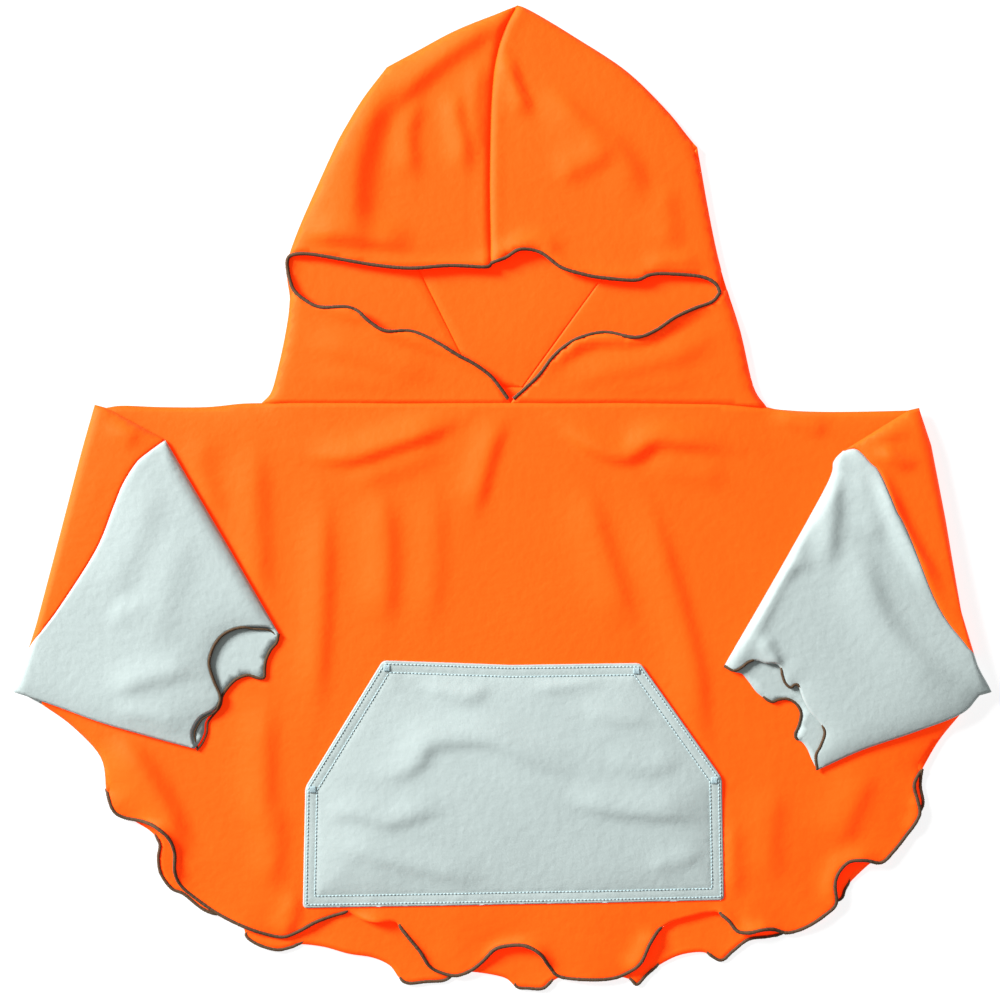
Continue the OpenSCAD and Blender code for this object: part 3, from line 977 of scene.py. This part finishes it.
cloth(
    Build().patch(front_outline, front_height, 4.2, offsets(front_hem, (2.5, 5, 8))),
    "body_front", "orange_knit", "torso", ["front_panel"])
cloth(
    Build().patch(back_outline, back_height, 8, offsets(back_hem, (4, 9))),
    "body_back", "orange_knit", "torso", ["back_panel"])

place(
    rolled_edge(Build(), [
        (front_hem_left, 0), (front_tuck_left, 5), (front_hem_middle, 0), (front_tuck_right, 5),
        (front_hem_right, 0)], front_height, FRONT_ROLL),
    "front_hem_edge_roll", "edge_thread", "torso", ["front_hem_edge"], on="body_front")
peeking = ((-262, -211), (-193, -150), (-78, -33), (9, 40), (94, 119), (152, 214), (247, 262), (303, 320))
shows = sum((back_hem[:, 0] > low) & (back_hem[:, 0] < high) for low, high in peeking)
place(
    rolled_edge(Build(), [(back_hem, np.where(shows, 0, 3.4))], back_height, BACK_ROLL),
    "back_hem_edge_roll", "edge_thread", "torso", ["back_hem_edge"], on="body_back")

for side, shoulder, flank, turn in (
    ("left", left_shoulder, left_side, 1), ("right", right_shoulder, right_side, -1)
):
    place(
        allowance(Build(), shoulder[2:-3], between_body_layers, 4, turn),
        side + "_shoulder_allowance", "seam_thread", "torso", [side + "_shoulder_seam"], RIBBON, "body_back")
    place(
        allowance(Build(), flank[1:-1], between_body_layers, 4, turn),
        side + "_side_allowance", "seam_thread", "torso", [side + "_side_seam"], RIBBON, "body_back")

neck_line = np.array([(neck_left[0] + 10, NECK_Y - 1), (neck_right[0] - 12, NECK_Y - 1)])
place(
    allowance(allowance(Build(), neck_line, front_height, 5, -1, -1.8),
              np.array([(-165, NECK_Y - 13), (180, NECK_Y - 13)]), back_height, 5, -1, 0.6),
    "neck_allowances", "seam_thread", "torso", ["neck_seam"], RIBBON, "body_front")

# ---------- pouch ----------


def inset(corners, distance):
    """A convex polygon drawn in by a distance. Its corners run clockwise."""
    out = []
    for last, here, following in with_neighbours(corners):
        u = (here - last) / np.linalg.norm(here - last)
        v = (following - here) / np.linalg.norm(following - here)
        inner_u, inner_v = np.array([u[1], -u[0]]), np.array([v[1], -v[0]])
        bisector = (inner_u + inner_v) / np.linalg.norm(inner_u + inner_v)
        out.append(here + bisector * distance / np.dot(bisector, inner_u))
    return np.array(out)


OUTER_ROW = 2.4
INNER_ROW = 8.8
pouch_openings = [pouch_corners[[2, 3]], pouch_corners[[6, 0]]]


def pouch_height(p):
    """The pouch: flat at its hems, dented along both rows of stitches, full and creased in the middle."""
    rim = distance(p, closed(pouch_rim))
    opening = distance(p, *pouch_openings)
    base = front_base(p) + 1.3 + 1.2 * np.exp(-((opening / 16) ** 2))
    z = base - 0.3 * np.clip(1 - rim / 1.8, 0, 1) ** 2
    z = z + 3.4 * (1 - np.exp(-np.clip(rim - INNER_ROW, 0, None) / 26))
    z = z + (0.62 * folds(p, pouch_folds) + gentle_waves(p, 0.2)) * step_up((rim - INNER_ROW) / 14)
    pucker = 0.12 * np.sin(p[:, 0] / 2.6) * np.sin(p[:, 1] / 2.9)
    for row in (OUTER_ROW, INNER_ROW):
        z = z - (0.28 + pucker) * np.exp(-(((rim - row) / 1.3) ** 2))
    return z


pouch_rings = [
    closed(inset(pouch_corners, d))
    for d in (1.0, OUTER_ROW, 3.9, 5.6, 7.3, INNER_ROW, 10.4, 13)
]
cloth(
    Build().patch(pouch_rim, pouch_height, 3.6, pouch_rings),
    "pouch", "mint_knit", "torso", ["pouch_pocket"])
for name, inset_by, node in (
    ("pouch_outer_stitches", OUTER_ROW, "pouch_edge_stitching"),
    ("pouch_inner_stitches", INNER_ROW, "pouch_hem_stitching"),
):
    place(
        stitch_line(Build(), closed(inset(pouch_corners, inset_by)), pouch_height),
        name, "pouch_thread", "torso", [node], on="pouch")

tacks = Build()
for corner in inset(pouch_corners, (OUTER_ROW + INNER_ROW) / 2)[[0, 2, 3, 6]]:
    for k in range(6):
        x = corner[0] + (k - 2.5) * 0.7
        bar = np.array([(x, corner[1] + t) for t in np.linspace(-2.4, 2.4, 6)])
        height = pouch_height(bar) + 0.75 + 0.25 * np.cos(np.linspace(-1.4, 1.4, 6))
        tacks.tube(np.column_stack([bar, height]), 0.4)
place(tacks, "pouch_corner_tacks", "pouch_thread", "torso", ["pouch_bar_tacks"], on="pouch")

# ---------- hood ----------

hood_left = Build()
hood_left.patch(
    chain(after(hood_left_edge, (-161, 168)), hood_left_crown, centre_seam, back(lip_top_left)),
    hood_front_height, 4.2, offsets(centre_seam, (-1.6, -3.4, -6)))
hood_left.patch(
    chain(before(hood_left_edge, (-159, 146)), after(lip_bottom_left, (-156, 154)), neck_seam[2:0:-1]),
    hood_front_height, 4.2)
hood_left.patch(
    chain([(-170, nape_y)], after(hood_left_edge, (-168, 94)), [left_gusset_seam[1]],
          [left_gusset_seam[0]]),
    hood_back_height, 5.5, offsets(left_gusset_seam, (1.6, 4)), turned_over=True)
cloth(
    hood_left, "hood_left", "orange_knit", "hood", ["hood_left_panel"])

hood_right = Build()
hood_right.patch(
    chain(back(hood_right_crown), back(after(hood_right_edge, (165, 169))), back(lip_top_right),
          back(centre_seam)),
    hood_front_height, 4.2, offsets(centre_seam, (1.6, 3.4, 6)))
hood_right.patch(
    chain(before(hood_right_edge, (170, 152)), back(lip_bottom_right), neck_seam[2:5]),
    hood_front_height, 4.2)
hood_right.patch(
    chain([(188, nape_y)], after(hood_right_edge, (187, 90)), [right_gusset_seam[1]], [right_gusset_seam[0]]),
    hood_back_height, 5.5, offsets(right_gusset_seam, (-1.6, -4)), turned_over=True)
cloth(
    hood_right, "hood_right", "orange_knit", "hood", ["hood_right_panel"])

hood_gusset = Build()
hood_gusset.patch(
    chain(left_gusset_seam, [hood_left_crown[0]], hood_left_crown, back(hood_right_crown),
          [right_gusset_seam[1]], [right_gusset_seam[0]]),
    hood_back_height, 5.5, offsets(left_gusset_seam, (-1.6, -4)) + offsets(right_gusset_seam, (1.6, 4)),
    turned_over=True)
cloth(
    hood_gusset, "hood_gusset", "orange_knit", "hood", ["hood_back_gusset"])

place(
    rolled_edge(Build(), [(lip_top_left, 0), (lip_top_right, 0)], hood_front_height, FRONT_ROLL),
    "face_opening_top_edge", "edge_thread", "hood", ["hood_face_edge"], on="hood_left")
place(
    rolled_edge(rolled_edge(Build(), [(lip_bottom_left, 0)], hood_front_height, FRONT_ROLL),
                [(lip_bottom_right, 0)], hood_front_height, FRONT_ROLL),
    "face_opening_bottom_edge", "edge_thread", "hood", ["hood_face_edge"], on="hood_right")
place(
    allowance(Build(), centre_seam[3:-2], hood_front_height, 5, 1, -1.0),
    "hood_centre_allowance", "seam_thread", "hood", ["hood_centre_seam"], RIBBON, "hood_left")
for side, seam, turn in (("left", left_gusset_seam, 1), ("right", right_gusset_seam, -1)):
    place(
        allowance(Build(), seam, hood_back_height, 3, turn, -0.3, 0.2),
        f"hood_{side}_gusset_allowance", "seam_thread", "hood", [f"hood_{side}_gusset_seam"], RIBBON,
        "hood_gusset")
crown = chain(hood_left_crown, back(hood_right_crown))
place(
    allowance(Build(), crown[2:-2], lambda p: (hood_front_height(p) + hood_back_height(p)) / 2, 4, -1),
    "hood_crown_allowance", "seam_thread", "hood", ["hood_crown_seam"], RIBBON, "hood_gusset")


def nape_height(p):
    ends = np.minimum(p[:, 0] + 178, 195 - p[:, 0])
    return BACK_LEVEL + 2.2 * np.exp(-np.clip(ends, 0, None) / 4)


nape = Build().patch(
    [(-177, NECK_Y - 12.5), (194, NECK_Y - 12.5), (194, NECK_Y - 2), (187, nape_y + 0.1),
     (-171, nape_y + 0.1), (-177, NECK_Y)], nape_height, 3.0)
nape_band = nape.finish("nape_band", MATERIALS["orange_knit"], CLOTH)
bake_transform(nape_band)

# ---------- folded sleeves ----------

# How far inside its fold line the upper cloth has wholly become part of the sleeve.
BEND_WIDTH = 24


def fold_blend(piece, fold, outward, body):
    """The upper cloth bends between the body and the folded sleeve. This works out the ends of that bend, the
    left one measured from the sleeve to the body, as a half turn looks the same from either side of its axis,
    but
    nothing uses them: it only bakes the piece's place into its mesh."""
    heading = np.array(fold[1], float) - np.array(fold[0], float)
    inward = -outward * np.array([abs(heading[1]), abs(heading[0])]) / np.linalg.norm(heading)
    inward[1] = -inward[0] * heading[0] / heading[1]
    inward /= np.linalg.norm(inward)
    rate = np.array([*(inward / BEND_WIDTH), 1 / (UPPER - BACK_PANEL)])
    start = np.array([*along(fold, 0.5), BACK_PANEL])
    ends = [("torso", start * MM), (body, (start + rate / (rate @ rate)) * MM)]
    if outward < 0:
        ends.reverse()
    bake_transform(piece)


def folded_sleeve(side, fold, cross_share, armhole, top, upper_cuff, lower_cuff, under, underarm, sign,
                  spread, slant, turned):
    """All the cloth of one folded sleeve, and the part of it that stays on the body's side of the fold.
    turned has the boxes within which the upper and the lower cuff's rolled edge is turned in."""
    body = f"folded_{side}_sleeve"
    lower, upper = folded_heights(side)
    cross = along(fold, cross_share)
    wing = chain([along(fold, CORNER)], armhole)
    cloth(
        Build().patch(wing, lower, 6, turned_over=True),
        f"{side}_wing_lower", "orange_knit", body, [f"{side}_wing_front"])
    beside = [
        line for edge in (armhole, top, under, upper_cuff) for line in offsets(edge, (-4.2, -2, 2, 4.2))
    ]
    cloth(
        Build().patch(
            chain(back(armhole), top, lower_cuff, under), lower, 5, offsets(top, (-4.2, -2, 2, 4.2)),
            turned_over=True),
        f"{side}_sleeve_lower", "mint_knit", body, [f"{side}_sleeve"])
    upper_outline = chain(back(armhole), top, upper_cuff, under)
    for name, slot, outline, nodes, flat in (
        ("wing_upper", "orange_knit", wing, ("wing_back", "body_fold"), (86, 172)),
        ("sleeve_upper", "mint_knit", upper_outline, ("sleeve", "sleeve_fold"), (210, 242)),
    ):
        build = Build().turned_patch(outline, upper, fold, spread, sign, cross_share, slant, 4.2, beside)
        piece = build.finish(f"{side}_{name}", MATERIALS[slot], CLOTH)
        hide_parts(*[f"{side}_{node}" for node in nodes])
        fold_blend(piece, fold, sign, body)
    edge = Build()
    for line, layer, stretches in ((upper_cuff, upper, turned[0]), (lower_cuff, lower, turned[1])):
        hidden = sum(around(line, np.array(box, float), 0) for box in stretches) > 0
        rolled_edge(edge, [(line, np.where(hidden, 2.0, 0))], layer, CUFF_ROLL)
    place(
        edge, f"{side}_cuff_roll", "edge_thread", body, [f"{side}_cuff_edge"], on=f"{side}_sleeve_upper")

    def between(p):
        return (lower(p) + upper(p)) / 2

    place(
        allowance(Build(), under[2:-3], between, 3.5, sign),
        f"{side}_underarm_allowance", "seam_thread", body, [f"{side}_underarm_seam"], RIBBON,
        f"{side}_sleeve_upper")
    place(
        allowance(Build(), armhole[6:-6], upper, 4.5, -sign, -1.3),
        f"{side}_armhole_allowance", "seam_thread", body, [f"{side}_armhole_seam"], RIBBON,
        f"{side}_wing_upper")
    place(
        allowance(Build(), np.array([armhole[0], along([armhole[0], fold[0]], 0.9)]), between, 3.5, -sign),
        f"{side}_wing_allowance", "seam_thread", body, [f"{side}_wing_seam"], RIBBON,
        f"{side}_wing_upper")

    triangle = [cross, fold[1], underarm]
    root = Build().patch(triangle, front_height, 4).patch(triangle, back_height, 4, turned_over=True)
    cloth(
        root, f"{side}_sleeve_root_cloth", "mint_knit", "torso", [f"{side}_sleeve_root"])
    place(
        allowance(
            Build(), np.array([along([fold[1], underarm], 0.3), underarm]), between_body_layers, 2, -sign),
        f"{side}_underarm_allowance_lower", "seam_thread", "torso", [f"{side}_underarm_seam_lower"], RIBBON,
        f"{side}_sleeve_root_cloth")
    place(
        allowance(Build(), np.array([along([cross, underarm], 0.1), along([cross, underarm], 0.9)]),
                  front_height, 3.5, sign, -1.2),
        f"{side}_armhole_allowance_lower", "seam_thread", "torso", [f"{side}_armhole_seam_lower"], RIBBON,
        f"{side}_sleeve_root_cloth")


folded_sleeve("left", left_fold, LEFT_CROSS, left_armhole, left_sleeve_top, left_upper_cuff,
              left_lower_cuff, left_sleeve_under, left_underarm, -1,
              ((0, 8), (0.15, 8), (0.7, 5.5), (1, 8.5)), 2.1,
              ([((-190, -110), (-160, -90)), ((-240, -195), (-213, -157))], [((-240, -195), (-212, -157))]))
folded_sleeve("right", right_fold, RIGHT_CROSS, right_armhole, right_sleeve_top, right_upper_cuff,
              right_lower_cuff, right_sleeve_under, right_underarm, 1,
              ((0, 8), (0.12, 10), (0.38, 7), (0.7, 1.5), (0.87, 4), (1, 9.5)), 1.5,
              ([((190, -130), (208, -120)), ((223, -172), (240, -145))],
               [((170, -152), (196, -130)), ((222, -210), (240, -184))]))

# ---------- stage ----------


def make_floor():
    mesh = bpy.data.meshes.new("floor")
    size = 4.0
    corners = [(-size, -size, 0), (size, -size, 0), (size, size, 0), (-size, size, 0)]
    mesh.from_pydata(corners, [], [(0, 1, 2, 3)])
    floor = bpy.data.objects.new("floor", mesh)
    bpy.context.scene.collection.objects.link(floor)
    material, nodes, links, shader = node_material("floor_paper")
    shader.inputs["Base Color"].default_value = (0.32, 0.32, 0.32, 1)
    shader.inputs["Emission Color"].default_value = (1, 1, 1, 1)
    shader.inputs["Emission Strength"].default_value = 0.84
    shader.inputs["Roughness"].default_value = 0.9
    shader.inputs["Specular IOR Level"].default_value = 0.05
    mesh.materials.append(material)


def make_light():
    world = bpy.data.worlds.new("studio")
    world.use_nodes = True
    world.node_tree.nodes["Background"].inputs["Color"].default_value = (1, 1, 1, 1)
    world.node_tree.nodes["Background"].inputs["Strength"].default_value = 0.24
    bpy.context.scene.world = world
    key = bpy.data.lights.new("key", "AREA")
    key.energy = 560
    key.size = 1.7
    lamp = bpy.data.objects.new("key", key)
    lamp.location = (-4.1, 2.35, 2.45)
    lamp.rotation_euler = Vector(lamp.location).to_track_quat("Z", "Y").to_euler()
    bpy.context.scene.collection.objects.link(lamp)


def make_camera():
    camera = bpy.data.cameras.new("camera")
    camera.lens = 85
    camera.sensor_width = 36
    camera.clip_end = 20
    holder = bpy.data.objects.new("camera", camera)
    holder.location = (-0.001125, -0.00375, 1.778)
    bpy.context.scene.collection.objects.link(holder)
    bpy.context.scene.camera = holder
    bpy.context.scene.view_settings.view_transform = "Standard"


make_floor()
make_light()
make_camera()
